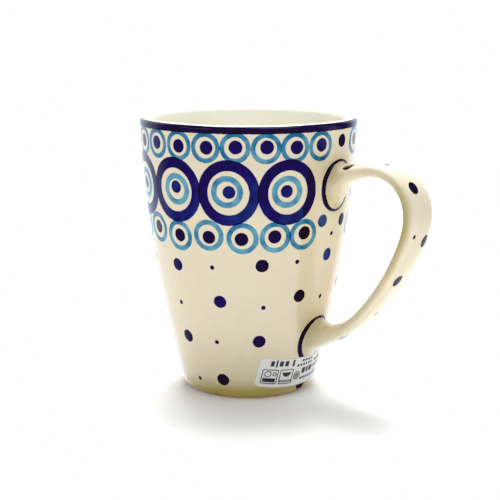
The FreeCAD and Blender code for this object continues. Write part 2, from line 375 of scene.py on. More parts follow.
# Where a colour Mix node keeps its two colours and its result
FIRST_COLOUR = 6
SECOND_COLOUR = 7
MIXED_COLOUR = 2


class Graph:
    """Short calls that add nodes to one tree. An argument is a Signal, a socket or a value."""

    def __init__(self, tree):
        self.tree = tree
        tree.nodes.clear()

    def put(self, socket, value):
        value = value.socket if isinstance(value, Signal) else value
        if isinstance(value, bpy.types.NodeSocket):
            self.tree.links.new(value, socket)
        else:
            socket.default_value = value

    def node(self, kind, *values, **settings):
        made = self.tree.nodes.new(kind)
        for name, value in settings.items():
            setattr(made, name, value)
        for place, value in enumerate(values):
            self.put(made.inputs[place], value)
        return made

    def math(self, operation, *values):
        return Signal(self, self.node("ShaderNodeMath", *values, operation=operation).outputs[0])

    def parts(self, vector):
        return [Signal(self, s) for s in self.node("ShaderNodeSeparateXYZ", vector).outputs]

    def distance(self, point, place):
        made = self.node("ShaderNodeVectorMath", point, tuple(place), operation="DISTANCE")
        return Signal(self, made.outputs["Value"])

    def length(self, first, second):
        return self.math("SQRT", first * first + second * second)

    def below(self, value, edge, soft):
        """1 where the value is below the edge, 0 above it, with a soft step between."""
        made = self.node("ShaderNodeMapRange", value, interpolation_type="SMOOTHSTEP")
        self.put(made.inputs["From Min"], edge - soft)
        self.put(made.inputs["From Max"], edge + soft)
        self.put(made.inputs["To Min"], 1.0)
        self.put(made.inputs["To Max"], 0.0)
        return Signal(self, made.outputs[0])

    def between(self, value, low, high, soft):
        return self.below(value, high, soft) - self.below(value, low, soft)

    def either(self, first, second):
        return self.math("MAXIMUM", first, second)

    def noise(self, point, size, detail):
        """Smooth noise about 0, from about -0.5 to 0.5, whose lumps are about size millimetres wide."""
        made = self.tree.nodes.new("ShaderNodeTexNoise")
        self.put(made.inputs["Vector"], point)
        self.put(made.inputs["Scale"], 1 / (size * MM))
        self.put(made.inputs["Detail"], detail)
        return Signal(self, made.outputs[0]) - 0.5

    def blend(self, first, second, share, mode="MIX"):
        """Two colours mixed, or the first one multiplied by the second."""
        made = self.tree.nodes.new("ShaderNodeMix")
        made.data_type = "RGBA"
        made.blend_type = mode
        self.put(made.inputs["Factor"], share)
        self.put(made.inputs[FIRST_COLOUR], first)
        self.put(made.inputs[SECOND_COLOUR], second)
        return made.outputs[MIXED_COLOUR]

    def stain(self, ground, pigment, mask):
        """A pigment that darkens what it covers."""
        return self.blend(ground, pigment, mask, "MULTIPLY")

    def bump(self, height, depth):
        """A surface normal from a height signal in millimetres."""
        made = self.tree.nodes.new("ShaderNodeBump")
        self.put(made.inputs["Distance"], depth * MM)
        self.put(made.inputs["Height"], height)
        return made.outputs[0]


def new_material(name):
    material = bpy.data.materials.new(name)
    material.use_nodes = True
    return material, Graph(material.node_tree)


def finish_material(graph, colour, normal, roughness, ior=1.5):
    """The shader itself. Values that are the same all over go straight on its sockets."""
    shader = graph.node("ShaderNodeBsdfPrincipled")
    graph.put(shader.inputs["Base Color"], colour)
    graph.put(shader.inputs["Normal"], normal)
    graph.put(shader.inputs["Roughness"], roughness)
    graph.put(shader.inputs["IOR"], ior)
    graph.node("ShaderNodeOutputMaterial", shader.outputs[0])
    return shader


# ---- colours, linear

# Glaze over bare slip: outside; olive, where the glaze lies thick and as painted shade low on the cup,
# round the roots and on the handle; and inside the cup
CREAM = (0.775, 0.682, 0.508, 1)
OLIVE = (0.43, 0.35, 0.10, 1)
PALE_CREAM = (0.90, 0.87, 0.77, 1)
# Pigments, which darken the slip under them
PALE_BLUE = (0.21, 0.56, 0.93, 1)
SKY_BLUE = (0.045, 0.235, 0.58, 1)
COBALT = (0.035, 0.075, 0.33, 1)
NAVY = (0.03, 0.03, 0.20, 1)
INK = (0.03, 0.02, 0.07, 1)
# Clay, and the label's paper and print
CLAY = (0.55, 0.43, 0.30, 1)
CLAY_DARK = (0.33, 0.23, 0.13, 1)
PAPER_WHITE = (0.77, 0.755, 0.72, 1)
PAPER_GREY = (0.68, 0.665, 0.635, 1)
PRINT = (0.02, 0.02, 0.02, 1)

# ---- the stamped pattern

# A ring stamp: azimuth, height, and how far its centre dot sits right of and above its middle
SMALL_RINGS = (
    (-15.4, 106.3, 0.3, 0.4),
    (-30.7, 106.3, 0.7, 0.1),
    (-45.6, 106.3, 0.3, 0.5),
    (-60.9, 106.6, 0.2, 0.2),
    (-76.1, 106.4, 0.5, 0.0),
    (-91.7, 106.7, 0.1, -0.3),
    (-107.7, 106.6, -0.3, 0.2),
    (-123.5, 106.6, 0.2, 0.1),
)
BIG_RINGS = (
    (-33.5, 88.8, -0.8, 0.5),
    (-64.7, 88.8, 0.4, 0.4),
    (-95.6, 88.8, 0.7, 1.2),
    (-126.0, 88.9, 0.2, 0.3),
)
LOW_RINGS = (
    (-23.2, 71.3, 0.3, 0.6),
    (-39.7, 71.0, -0.3, 0.2),
    (-57.5, 70.7, -0.4, -0.3),
    (-76.4, 71.5, 0.2, -0.8),
    (-95.2, 70.2, 0.2, 0.1),
    (-114.1, 71.7, 0.1, 0.2),
)
# How far the light ring sits right of and above the middle of each big one
LIGHT_SLIPS = ((-0.5, 0.3), (-0.5, 0.5), (0.8, 0.3), (0.3, 0.2))

# Each row: its rings that face forward, how many go all round, and the azimuth of the last
SMALL_ROW = (SMALL_RINGS, 22, -343.5)
BIG_ROW = (BIG_RINGS, 11, -325.0)
LOW_ROW = (LOW_RINGS, 18, -336.0)

# Radii: the edges of the ring itself and the edge of its dot
SMALL_SIZES = (4.2, 6.05, 2.7)
BIG_SIZES = (8.3, 12.4, 2.55)
LOW_SIZES = (4.35, 6.35, 2.7)
LIGHT_SIZES = (4.1, 6.4)
# How much taller than wide a big ring is
BIG_TALLNESS = 1.055

# How deep the blue of a row's rings is, and how black its dots are
SMALL_TINTS = (0.75, 0.1)
LOW_TINTS = (0.45, 0.8)
# How much the brush changes the blues, and the darkest lines
BLUE_VARIETY = 2.4
DARK_VARIETY = 1.5

# Half the softness of a painted edge, and how far the edge wanders
PAINT_EDGE = 0.15
RAGGEDNESS = 0.3

# The rim band: degrees from level up over the lip, and the height of its lower edge
RIM_BAND_TURN = 60
RIM_BAND_FOOT = 111.85

# How far from a root's edge the painted shade reaches on the wall, and how strong it is
ROOT_SHADE_REACH = 2.2
ROOT_SHADE_SHARE = 0.2

# How far in from the outer wall the glaze turns to its inside colour
INSIDE_FROM = -2.0

GLAZE_IOR = 1.55
GLAZE_ROUGHNESS = 0.03
GLAZE_RELIEF = 0.07

# Radii of the two sizes of single dot, the azimuth from one to the next, and where rows end
LARGE = 2.65
SMALL = 0.92
DOT_STEP = 25.7
LAST_DOT = -330

# The widest range of lengths that a colour channel of a ramp can hold
CODE_SPAN = 20.0

# A single dot: azimuth, height, radius, and how black it is
DOT_ROWS = (
    (
        (-2.7, 61.1, LARGE, 0.0),
        (-25.7, 60.1, SMALL, 0.8),
        (-46.6, 59.4, LARGE, 0.95),
        (-75.3, 58.2, SMALL, 0.8),
        (-99.7, 57.5, LARGE, 0.65),
        (-126.1, 57.9, SMALL, 0.8),
    ),
    (
        (21.8, 46.8, LARGE, 0.0),
        (-3.1, 43.2, SMALL, 1.0),
        (-21.7, 45.3, LARGE, 1.0),
        (-45.1, 41.6, SMALL, 0.5),
        (-71.9, 43.8, LARGE, 0.55),
        (-101.9, 41.0, SMALL, 1.0),
        (-132.9, 41.7, LARGE, 0.8),
    ),
    (
        (-47.0, 26.7, LARGE, 0.8),
        (-76.5, 25.8, SMALL, 1.0),
        (-101.1, 26.3, LARGE, 1.0),
        (-130.8, 23.2, SMALL, 0.8),
    ),
    (
        (-4.5, 4.2, LARGE, 1.0),
        (-74.9, 8.7, LARGE, 1.0),
        (-98.0, 7.3, SMALL, 0.8),
        (-130.8, 6.7, LARGE, 0.9),
    ),
)

# Dots beside the handle's roots: azimuth, height, radius, and how black each is
ROOT_DOTS = (
    (1.0, 107.4, LARGE, 1.0),
    (-10.4, 75.8, LARGE, 0.0),
    (8.8, 74.5, LARGE, 1.0),
    (-1.0, 69.7, SMALL, 1.0),
)

# Dots on the strap: x, y, height, radius, and how black each is
STRAP_DOTS = (
    (52.6, -5.6, 97.8, LARGE, 1.0),
    (68.1, -3.3, 99.8, SMALL, 0.3),
    (79.6, -3.0, 91.8, LARGE, 1.0),
    (81.3, 7.7, 85.5, SMALL, 1.0),
    (81.8, -5.7, 73.4, SMALL, 1.0),
    (81.1, 4.1, 70.2, LARGE, 1.0),
    (74.1, -3.7, 54.8, LARGE, 1.0),
    (63.8, -1.6, 39.7, SMALL, 1.0),
    (51.0, -4.3, 28.5, LARGE, 1.0),
    (37.0, -0.5, 18.4, LARGE, 0.9),
)


def whole_row(row):
    """The rings that face forward, then the rest of the row, evenly spaced to its end."""
    seen, total, end = row
    start, height = seen[-1][:2]
    rings = list(seen)
    for azimuth in np.linspace(start, end, total - len(seen) + 1)[1:]:
        slip = (DICE.uniform(-0.4, 0.7), DICE.uniform(-0.4, 0.6))
        rings.append((azimuth + DICE.uniform(-0.5, 0.5), height + DICE.uniform(-0.3, 0.3), *slip))
    return rings


def whole_dot_row(seen):
    """The dots that face forward, then large and small ones by turns to the end of the row."""
    dots = list(seen)
    azimuth, height, radius, _ = seen[-1]
    while azimuth - DOT_STEP > LAST_DOT:
        azimuth -= DOT_STEP
        radius = SMALL if radius == LARGE else LARGE
        place = (azimuth + DICE.uniform(-2, 2), height + DICE.uniform(-1.5, 1.5))
        dots.append((*place, radius, DICE.uniform(0.2, 1)))
    return dots


def code(value):
    """A signed length packed into the range of a colour channel."""
    return 0.5 + value / CODE_SPAN


def stepped_cells(stamps):
    """Where each stamp becomes the nearest one, going once round from the seam at the handle."""
    cells = []
    for before, stamp in zip([stamps[-1]] + stamps, stamps):
        gap = (stamp[0] - before[0]) % 1
        cells.append(((before[0] + gap / 2) % 1, stamp))
    cells.sort(key=lambda cell: cell[0])
    return [(0.0, cells[-1][1])] + cells


class Wall:
    """Where a point lies on the cup's wall. Its turn is a share of a circle, its lengths millimetres."""

    def __init__(self, graph):
        self.graph = graph
        self.point = graph.node("ShaderNodeTexCoord").outputs["Object"]
        x, y, z = graph.parts(self.point)
        self.height = z / MM
        self.side = y / MM
        self.radius = graph.length(x, y) / MM
        self.turn = graph.math("FRACT", graph.math("ARCTAN2", y, x) / (2 * math.pi) + 1.0)
        drop = self.height - WALL_CENTRE[1]
        surface = graph.math("SQRT", (WALL_ARC + GLAZE) ** 2 - drop * drop) + WALL_CENTRE[0]
        self.off_wall = self.radius - surface
        self.handle_side = graph.math("GREATER_THAN", x, 0.0)
        self.ragged = graph.noise(self.point, 1.6, 2.0) * RAGGEDNESS

    def nearest(self, stamps, height):
        """The numbers of the stamp nearest round the cup, by a stepped ramp: turn, lift and two more."""
        graph = self.graph
        stamps = sorted((azimuth / 360 % 1, level - height, *more) for azimuth, level, *more in stamps)
        cells = stepped_cells(stamps)
        ramp = graph.node("ShaderNodeValToRGB", self.turn)
        ramp.color_ramp.interpolation = "CONSTANT"
        elements = ramp.color_ramp.elements
        while len(elements) < len(cells):
            elements.new(0.5)
        for element, cell in zip(elements, cells):
            element.position = cell[0]
        for element, cell in zip(elements, cells):
            turn, *lengths = cell[1]
            element.color = (turn, *(code(length) for length in lengths))
        turn, *coded = graph.parts(ramp.outputs["Color"])
        coded.append(Signal(graph, ramp.outputs["Alpha"]))
        return [turn] + [(channel - 0.5) * CODE_SPAN for channel in coded]

    def offset(self, turn, height):
        """How far across and up the wall a point lies from a stamp's middle."""
        away = self.graph.math("WRAP", self.turn - turn, 0.5, -0.5)
        return away * self.radius * (2 * math.pi), self.height - height

    def around_stamp(self, stamps, height, tallness=1.0):
        """Distances from the middle of the nearest stamp, and from the dot inside it."""
        turn, lift, right, above = self.nearest(stamps, height)
        across, up = self.offset(turn, lift + height)
        ring = self.graph.length(across, up / tallness) + self.ragged
        dot = self.graph.length(across - right, up - above) + self.ragged
        return ring, dot, across, up


def by_turns(stamps):
    """A row split in two, so that neighbours that touch are painted one over the other."""
    stamps = sorted(stamps)
    return stamps[::2], stamps[1::2]


def paint_ring_row(wall, ground, row, sizes, brush, depth, black):
    """Light blue rings with dark dots, given how deep the blue is and how black the dots are."""
    graph = wall.graph
    inner, outer, dot_edge = sizes
    height = row[0][0][1]
    for half in by_turns(whole_row(row)):
        ring, dot, _, up = wall.around_stamp(half, height)
        tint = graph.blend(PALE_BLUE, SKY_BLUE, brush * BLUE_VARIETY + up * 0.02 + depth)
        ground = graph.stain(ground, tint, graph.between(ring, inner, outer, PAINT_EDGE))
        tint = graph.blend(NAVY, INK, brush + black)
        ground = graph.stain(ground, tint, graph.below(dot, dot_edge, PAINT_EDGE))
    return ground


def paint_big_row(wall, ground, brush):
    """Cobalt rings that overlap, each round a light ring and a dot."""
    graph = wall.graph
    inner, outer, dot_edge = BIG_SIZES
    height = BIG_RINGS[0][1]
    rings = whole_row(BIG_ROW)
    slips = list(LIGHT_SLIPS) + [ring[2:] for ring in rings[len(LIGHT_SLIPS):]]
    lights = [(*ring[:2], *slip) for ring, slip in zip(rings, slips)]
    for half, light_half in zip(by_turns(rings), by_turns(lights)):
        ring, dot, across, up = wall.around_stamp(half, height, BIG_TALLNESS)
        light = wall.around_stamp(light_half, height)[1]
        lean = (up - across) * 0.03 + brush * 1.4 + 0.8
        tint = graph.blend(COBALT, NAVY, lean)
        tint = graph.blend(tint, INK, lean * 0.6 - 0.45)
        ground = graph.stain(ground, tint, graph.between(ring, inner, outer, PAINT_EDGE))
        tint = graph.blend(PALE_BLUE, SKY_BLUE, brush * BLUE_VARIETY + 0.3)
        ground = graph.stain(ground, tint, graph.between(light, *LIGHT_SIZES, PAINT_EDGE))
        tint = graph.blend(COBALT, NAVY, brush * 2.0 + 0.5)
        ground = graph.stain(ground, tint, graph.below(dot, dot_edge, PAINT_EDGE))
    return ground


def paint_scattered_dots(wall, ground):
    """Rows of single dots below the rings."""
    graph = wall.graph
    for seen in DOT_ROWS:
        height = seen[-1][1]
        turn, lift, radius, black = wall.nearest(whole_dot_row(seen), height)
        across, up = wall.offset(turn, lift + height)
        away = graph.length(across, up) + wall.ragged
        tint = dot_tint(graph, black)
        ground = graph.stain(ground, tint, graph.below(away - radius, 0.0, PAINT_EDGE))
    for azimuth, height, radius, black in ROOT_DOTS:
        angle = math.radians(azimuth)
        reach = wall_radius(height)
        place = (reach * math.cos(angle), reach * math.sin(angle), height)
        ground = paint_dot(wall, ground, place, radius, black)
    return ground


def dot_tint(graph, black):
    """From cobalt through navy to near black."""
    black = graph.math("MULTIPLY", black, 2.0)
    return graph.blend(graph.blend(COBALT, NAVY, black), INK, black - 1.0)


def paint_dot(wall, ground, place, radius, black):
    """One dot round a point in space."""
    graph = wall.graph
    away = graph.distance(wall.point, Vector(place) * MM) / MM + wall.ragged
    return graph.stain(ground, dot_tint(graph, black), graph.below(away, radius, PAINT_EDGE))


def off_root_edge(wall, root):
    """How far a point is from the edge of a root's footprint, and how far to the side of its middle."""
    graph = wall.graph
    height, half_width, half_height = root
    across = wall.side / half_width
    up = (wall.height - height) / half_height
    along_wall = (graph.length(across, up) - 1.0) * (half_width + half_height) * 0.5
    return graph.length(along_wall, wall.off_wall), across


def paint_root_lines(wall, ground, brush):
    """The line painted round each root: broad at its sides, thin above and below, with painted shade on
    the wall close round the root.
    """
    graph = wall.graph
    for root in (UPPER_ROOT, LOWER_ROOT):
        away, across = off_root_edge(wall, root)
        # Painted shade: the wall goes olive close round the root, on the handle's side of the cup
        painted_shade = graph.below(away, ROOT_SHADE_REACH, ROOT_SHADE_REACH) * wall.handle_side
        ground = graph.blend(ground, OLIVE, painted_shade * ROOT_SHADE_SHARE)
        aside = across * across
        breadth = aside * (2.0 - aside) * 0.55 + 0.5
        line = graph.below(away - breadth + wall.ragged, 0.0, PAINT_EDGE) * wall.handle_side
        tint = graph.blend(NAVY, INK, brush * DARK_VARIETY + 0.75)
        ground = graph.stain(ground, tint, line)
    return ground


def paint_rim(wall, ground, brush):
    """The dark band under the lip, on its outer side only."""
    graph = wall.graph
    over = graph.math("ARCTAN2", wall.height - LIP_CENTRE[1], wall.radius - LIP_CENTRE[0])
    band = graph.below(over + wall.ragged * 0.2, math.radians(RIM_BAND_TURN), 0.06)
    band = band * (1.0 - graph.below(wall.height + wall.ragged, RIM_BAND_FOOT, PAINT_EDGE))
    tint = graph.blend(NAVY, INK, brush * DARK_VARIETY + 0.9)
    return graph.stain(ground, tint, band)


def finish_glaze(wall, colour):
    """Shiny glaze, with a slow swell and a faint orange-peel in it."""
    graph = wall.graph
    relief = graph.noise(wall.point, 14.0, 1.0) + graph.noise(wall.point, 1.2, 1.0) * 0.03
    finish_material(graph, colour, graph.bump(relief, GLAZE_RELIEF), GLAZE_ROUGHNESS, GLAZE_IOR)


def cup_glaze_material():
    """Clear glaze over cream slip, stamped in blues, with a dark band round the lip."""
    material, graph = new_material("cup_glaze")
    wall = Wall(graph)
    brush = graph.noise(wall.point, 5.0, 3.0)
    # Olive and darker towards the foot, strongest on the side towards the camera and at the bottom edge:
    # partly glaze lying thicker there, partly painted shade from the floor and the contact
    facing = graph.math("COSINE", wall.turn * (2 * math.pi) - math.radians(FOOT_SHADE_AZIMUTH)) * 0.5 + 0.5
    low = graph.below(wall.height, 16.0, 18.0) * 0.35 + graph.below(wall.height, 5.0, 6.0) * 0.95
    low = low * (facing * 0.8 + 0.2) + graph.below(wall.height, 2.0, 3.0) * 0.35
    inside = graph.below(wall.off_wall, INSIDE_FROM, 0.3)
    slip = graph.blend(CREAM, OLIVE, low + brush * 0.15)
    painted = paint_ring_row(wall, slip, SMALL_ROW, SMALL_SIZES, brush, *SMALL_TINTS)
    painted = paint_ring_row(wall, painted, LOW_ROW, LOW_SIZES, brush, *LOW_TINTS)
    painted = paint_big_row(wall, painted, brush)
    painted = paint_scattered_dots(wall, painted)
    painted = paint_root_lines(wall, painted, brush)
    painted = paint_rim(wall, painted, brush)
    colour = graph.blend(painted, PALE_CREAM, inside)
    finish_glaze(wall, colour)
    return material


def strap_glaze_material():
    """The same glaze on the handle, with its dots and the painted lines round the roots."""
    material, graph = new_material("strap_glaze")
    wall = Wall(graph)
    brush = graph.noise(wall.point, 6.0, 3.0)
    # Painted shade: olive on the strap's inner flank and towards the roots, where the cup shades the
    # handle
    painted_shade = Signal(graph, graph.node("ShaderNodeAttribute", attribute_name="painted_shade").outputs["Fac"])
    colour = graph.blend(CREAM, OLIVE, painted_shade + brush * 0.3)
    for x, y, z, radius, black in STRAP_DOTS:
        colour = paint_dot(wall, colour, (x, y, z), radius, black)
    colour = paint_root_lines(wall, colour, brush)
    finish_glaze(wall, colour)
    return material


def clay_material():
    """Fired stoneware, rough on the foot, with a thin glaze in the recess under the floor."""
    material, graph = new_material("stoneware_clay")
    wall = Wall(graph)
    grain = graph.noise(wall.point, 0.5, 4.0)
    cloud = graph.noise(wall.point, 7.0, 3.0)
    glazed = graph.below(wall.radius + cloud * 0.8, RECESS_RADIUS - 0.2, 0.15)
    colour = graph.blend(CLAY, CLAY_DARK, graph.math("MAXIMUM", cloud * 0.8 + grain * 0.7 + 0.1, 0))
    colour = graph.blend(colour, OLIVE, glazed)
    roughness = 0.75 - glazed * 0.62
    relief = grain * (1.0 - glazed * 0.9)
    finish_material(graph, colour, graph.bump(relief, 0.25), roughness)
    return material


def slip_material():
    """Dried slip that joins the handle to the cup."""
    material, graph = new_material("joint_slip")
    point = graph.node("ShaderNodeTexCoord").outputs["Object"]
    grain = graph.noise(point, 0.8, 4.0)
    colour = graph.blend(CLAY, CLAY_DARK, graph.math("MAXIMUM", grain + 0.3, 0))
    finish_material(graph, colour, graph.bump(grain, 0.3), 0.85)
    return material


# ---- the paper label

# The flat label, and where its middle and its foot lie on the wall
LABEL_LENGTH = 40.0
LABEL_HEIGHT = 13.2
LABEL_CORNER = 2.2
LABEL_AZIMUTH = -10.5
LABEL_FOOT = 4.2
LABEL_TILT = math.radians(2.2)
# The paper's thickness, the glue's, and how often the paper is eased over creases
PAPER = 0.12
GLUE = 0.02
EASINGS = 60
# Points of the mesh along the label and up it
LABEL_COLUMNS = 96
LABEL_ROWS = 34
# A distance from the axis that is outside the whole mug
OUTSIDE = 200.0


def label_flat():
    """Points of the flat label as rows from its bottom edge up, each narrowed by the round corners."""
    turns = np.linspace(0, math.pi, LABEL_ROWS)
    rows = []
    for up in (1 - np.cos(turns)) / 2 * LABEL_HEIGHT:
        short = max(LABEL_CORNER - min(up, LABEL_HEIGHT - up), 0)
        half = LABEL_LENGTH / 2 - LABEL_CORNER + math.sqrt(LABEL_CORNER**2 - short**2)
        rows.append([(along, up) for along in np.linspace(-half, half, LABEL_COLUMNS)])
    return np.array(rows)


def wrapped(along, up):
    """Azimuth and height of a point of the flat label once it is rolled on the flaring wall."""
    foot = wall_radius(LABEL_FOOT)
    slope = (wall_radius(LABEL_FOOT + LABEL_HEIGHT) - foot) / LABEL_HEIGHT
    flare = math.atan(slope)
    apex = foot / math.sin(flare)
    lean = up - LABEL_HEIGHT / 2
    turned = along * math.cos(LABEL_TILT) + lean * math.sin(LABEL_TILT)
    raised = lean * math.cos(LABEL_TILT) - along * math.sin(LABEL_TILT) + LABEL_HEIGHT / 2
    reach = math.hypot(turned, apex + raised)
    azimuth = LABEL_AZIMUTH + math.degrees(math.atan2(turned, apex + raised) / math.sin(flare))
    return azimuth, LABEL_FOOT + (reach - apex) * math.cos(flare)


def resting_radius(surfaces, azimuth, height):
    """How far from the axis a ray coming in from outside meets the mug."""
    angle = math.radians(azimuth)
    outward = Vector((math.cos(angle), math.sin(angle), 0))
    start = outward * OUTSIDE * MM + Vector((0, 0, height * MM))
    hits = [tree.ray_cast(start, -outward)[0] for tree in surfaces]
    return max(hit.to_2d().length for hit in hits if hit) / MM


def eased(radii):
    """Paper doesn't follow a crease: neighbours are averaged, and it never goes into the mug."""
    floor = radii.copy()
    for _ in range(EASINGS):
        padded = np.pad(radii, 1, mode="edge")
        around = padded[:-2, 1:-1] + padded[2:, 1:-1] + padded[1:-1, :-2] + padded[1:-1, 2:]
        radii = np.maximum(around / 4, floor)
    return radii


def sheet_faces():
    """The label's back and front, and the thin edge between them."""
    sheet = LABEL_ROWS * LABEL_COLUMNS
    faces = []
    for row in range(LABEL_ROWS - 1):
        for column in range(LABEL_COLUMNS - 1):
            a = row * LABEL_COLUMNS + column
            quad = (a, a + 1, a + 1 + LABEL_COLUMNS, a + LABEL_COLUMNS)
            faces.append(quad[::-1])
            faces.append(tuple(k + sheet for k in quad))
    bottom = list(range(LABEL_COLUMNS))
    right = [row * LABEL_COLUMNS + LABEL_COLUMNS - 1 for row in range(LABEL_ROWS)]
    top = [sheet - 1 - k for k in range(LABEL_COLUMNS)]
    left = [row * LABEL_COLUMNS for row in reversed(range(LABEL_ROWS))]
    edge = bottom[:-1] + right[:-1] + top[:-1] + left[:-1]
    for here, after in zip(edge, edge[1:] + edge[:1]):
        faces.append((here, after, after + sheet, here + sheet))
    return faces


def label_piece(surfaces):
    """A thin paper sheet stuck round the foot of the cup and up over the toe of the handle."""
    flat = label_flat()
    places = np.array([[wrapped(*point) for point in row] for row in flat])
    radii = np.array([[resting_radius(surfaces, *place) for place in row] for row in places])
    radii = eased(radii)
    points, coordinates = [], []
    for lift in (0.0, PAPER):
        for row in range(LABEL_ROWS):
            for column in range(LABEL_COLUMNS):
                azimuth, height = places[row, column]
                angle = math.radians(azimuth)
                radius = radii[row, column] + GLUE + lift
                points.append((radius * math.cos(angle), radius * math.sin(angle), height))
                coordinates.append(tuple(flat[row, column] * MM) + (0.0,))
    piece = make_piece("label", points, sheet_faces(), label_material())
    flat_place = piece.data.attributes.new("flat_place", "FLOAT_VECTOR", "POINT")
    flat_place.data.foreach_set("vector", np.array(coordinates, np.float32).ravel())
    return piece


def printed_box(graph, along, up, box, corner, outline=None):
    """A printed rectangle with round corners, filled or drawn as a line."""
    left, low, right, high = box
    reach_along = abs(along - (left + right) / 2) - ((right - left) / 2 - corner)
    reach_up = abs(up - (low + high) / 2) - ((high - low) / 2 - corner)
    outside = graph.length(graph.math("MAXIMUM", reach_along, 0.0), graph.math("MAXIMUM", reach_up, 0.0))
    inside = graph.math("MINIMUM", graph.math("MAXIMUM", reach_along, reach_up), 0.0)
    away = outside + inside - corner
    if outline:
        return graph.between(away, -outline, 0.0, PRINT_EDGE)
    return graph.below(away, 0.0, PRINT_EDGE)


# Printed marks on the label, from its bottom middle. Bars and frames: left, low, right, high.
LABEL_BARS = (
    (-15.0, 9.8, -13.4, 12.3),
    (-12.6, 9.4, -11.8, 12.7),
    (-11.0, 9.8, -9.2, 12.3),
    (-8.4, 9.8, -6.6, 12.3),
    (-4.6, 9.4, -3.4, 12.5),
    (-17.0, 2.3, -11.4, 4.2),
    (1.8, 5.2, 4.0, 7.8),
    (4.6, 5.2, 6.0, 7.8),
    (6.6, 5.2, 9.0, 7.8),
)
LABEL_FRAMES = ((-17.8, 1.5, -10.6, 8.3), (-9.8, 1.5, -3.2, 8.3))
BAR_CORNER = 0.2
FRAME_CORNER = 0.6
FRAME_LINE = 0.4
# Round marks: along, up and radius
LABEL_ROUNDS = (
    (-15.2, 6.1, 1.5),
    (-12.2, 6.1, 0.9),
    (-0.9, 4.8, 1.9),
    (-0.9, 4.8, 1.2),
    (-0.9, 4.8, 0.6),
)
# A filled half round, flat side up: along, up and radius
LABEL_BOWL = (-6.5, 6.9, 2.1)
# Rows of small dashes: first one's left edge, their height, how many, their length and step
LABEL_DASHES = (
    (-9.3, 2.3, 6, 0.7, 1.0),
    (0.8, 10.9, 4, 1.4, 1.8),
    (-1.6, 8.9, 6, 1.2, 1.7),
    (1.4, 2.4, 8, 1.3, 1.7),
    (9.8, 6.2, 4, 1.4, 1.9),
    (10.0, 8.9, 4, 1.4, 1.9),
)
DASH_TALLNESS = 1.1
# Half the softness of a printed edge, and how well the print covers the paper
PRINT_EDGE = 0.05
PRINT_COVER = 0.92


def label_boxes():
    """Every filled bar on the label, the small dashes included."""
    boxes = list(LABEL_BARS)
    for start, low, count, length, step in LABEL_DASHES:
        for k in range(count):
            left = start + k * step
            boxes.append((left, low, left + length, low + DASH_TALLNESS))
    return boxes


def label_material():
    """White paper with plain printed bars, frames and rounds in place of its lettering."""
    material, graph = new_material("label_paper")
    place = graph.node("ShaderNodeAttribute", attribute_name="flat_place").outputs["Vector"]
    point = graph.node("ShaderNodeTexCoord").outputs["Object"]
    x, y, _ = graph.parts(place)
    along, up = x / MM, y / MM
    fibre = graph.noise(point, 0.6, 4.0)
    marks = [printed_box(graph, along, up, box, BAR_CORNER) for box in label_boxes()]
    marks += [printed_box(graph, along, up, box, FRAME_CORNER, FRAME_LINE) for box in LABEL_FRAMES]
    for middle, level, radius in LABEL_ROUNDS:
        away = graph.length(along - middle, up - level)
        marks.append(graph.between(away, radius - FRAME_LINE, radius, PRINT_EDGE))
    middle, level, radius = LABEL_BOWL
    disc = graph.below(graph.length(along - middle, up - level), radius, PRINT_EDGE)
    ink = disc * graph.below(up, level, PRINT_EDGE)
    for mark in marks:
        ink = graph.either(ink, mark)
    colour = graph.blend(PAPER_WHITE, PAPER_GREY, fibre * 0.6)
    colour = graph.blend(colour, PRINT, ink * PRINT_COVER)
    finish_material(graph, colour, graph.bump(fibre, 0.05), 0.45)
    return material


# ---- making the pieces

def stand_for(piece, slot, *nodes):
    """Puts a piece in the place of the CAD nodes that it shows."""
    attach(piece, "root")
    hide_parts(*nodes)
    return piece


def stoneware_body(material):
    """The thrown and turned clay cup, with its foot ring and recess."""
    foot = [
        cup_section(0.0, 2)[-1],
        (FOOT_OUTER, 0),
        (FOOT_INNER, 0),
        (RECESS_RADIUS, RECESS_DEPTH),
        (0, RECESS_DEPTH),
    ]
    return revolve("stoneware_body", cup_section(0.0, 1)[:-1] + rounded(foot, FOOT_ROUND), material)


def cup_glaze(material):
    """The glaze that coats the cup inside and out, ending in a rounded edge above the foot."""
    skin = cup_section(GLAZE, 2)
    clay = cup_section(0.0, 1)
    edge = (np.array(skin[-1]) + np.array(clay[-1])) / 2
    bead = arc(edge, GLAZE / 2, 0.0, -math.pi, 7)[1:-1]
    return revolve("cup_glaze", skin + bead + clay[::-1], material)


def handle_strap(material):
    rings = handle_rings(0.0)
    return make_piece("handle_strap", np.concatenate(rings), skin_rings(rings, False), material)


def shade_along(station):
    """How much painted shade lies at a station of the strap."""
    away = np.linalg.norm(station[:2] - STRAP_SHADE_MIDDLE)
    reach = STRAP_SHADE_UP if station[1] > STRAP_SHADE_MIDDLE[1] else STRAP_SHADE_DOWN
    return STRAP_SHADE_LEAST + STRAP_SHADE_MORE * math.exp(-((away / reach) ** 2))


def shade_shares():
    """How much painted shade turns the glaze olive at each point of the handle's outer skin."""
    turns = np.linspace(0, 2 * math.pi, ROUND_THE_STRAP, endpoint=False)
    leans = np.degrees(np.arctan2(-np.sin(turns), np.abs(np.cos(turns))))
    flank = np.exp(-(((leans - STRAP_SHADE_LEAN) / STRAP_SHADE_SPREAD) ** 2))
    stations, _ = smooth_through(STRAP, RINGS_ALONG_STRAP)
    strap = [flank * shade_along(station) for station in stations]
    shares = np.linspace(0, 1, RINGS_ALONG_ROOT + 2)[1:]
    upper = [strap[0] * (1 - share) + share * UPPER_ROOT_SHADE for share in shares]
    lower = [strap[-1] * (1 - share) + share * LOWER_ROOT_SHADE for share in shares]
    return upper[::-1] + strap + lower


